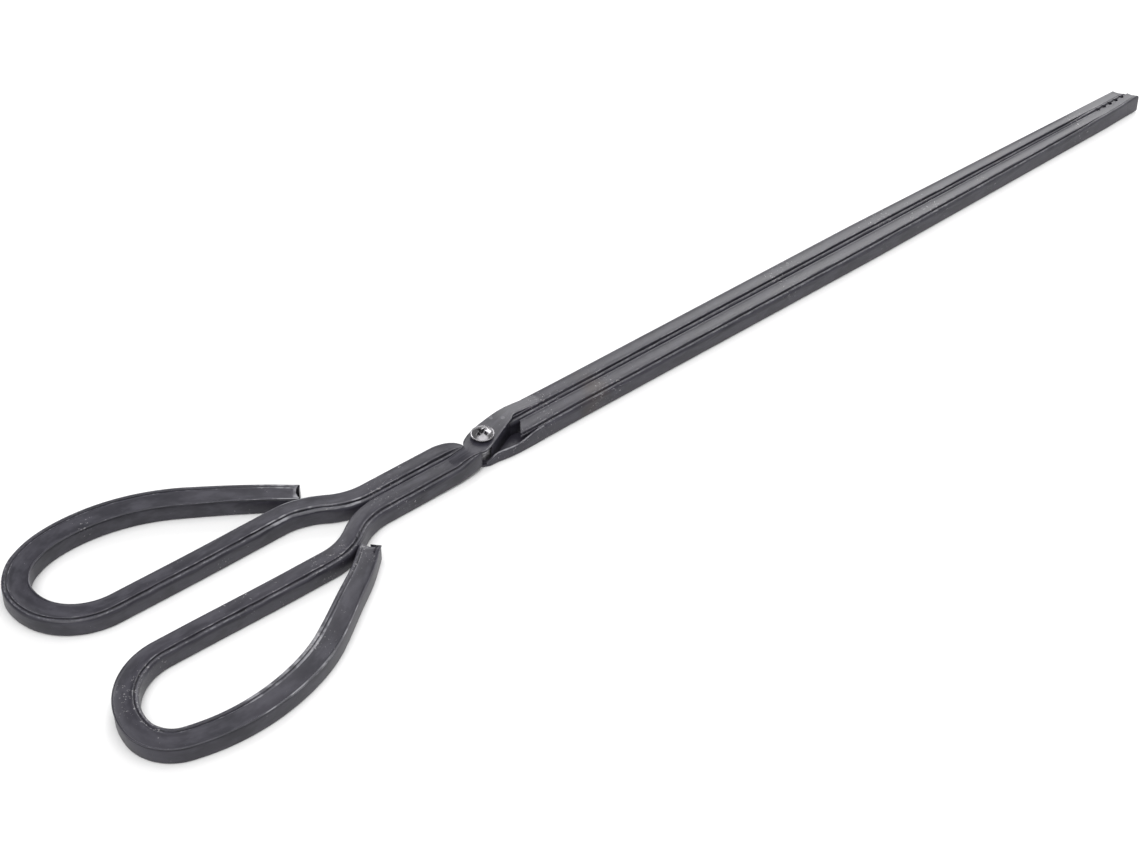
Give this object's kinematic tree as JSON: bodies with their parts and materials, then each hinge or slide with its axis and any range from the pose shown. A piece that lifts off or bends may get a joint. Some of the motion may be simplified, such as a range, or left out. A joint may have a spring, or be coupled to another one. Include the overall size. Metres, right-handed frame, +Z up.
{
  "type": "fire tongs",
  "caption": "Long scissor-action fire tongs with slim straight jaws, folded sheet-steel arms, teardrop finger loops and a domed pivot screw.",
  "frame": {"origin": "on the pivot axis, in the plane that the closed tongs rest on", "axes": "+X towards the jaw tips, +Y towards the upper arm's jaw, +Z up along the pivot axis"},
  "size_m": [0.4374, 0.1014, 0.0093],
  "materials": {
    "arm_paint": "semi-gloss dark grey paint, slightly worn at the folds",
    "screw_steel": "bright plated",
    "plain_steel": "plain"
  },
  "bodies": {
    "lower": {"arm_lower": "arm_paint", "pivot_screw": "screw_steel", "pivot_bush": "plain_steel", "clinch_nut": "plain_steel"},
    "upper": {"arm_upper": "arm_paint"}
  },
  "joints": [
    {"name": "pivot", "type": "hinge", "parent": "lower", "child": "upper", "pos_m": [0, 0, 0.006], "axis": [0, 0, 1], "range_deg": [0, 40]}
  ]
}
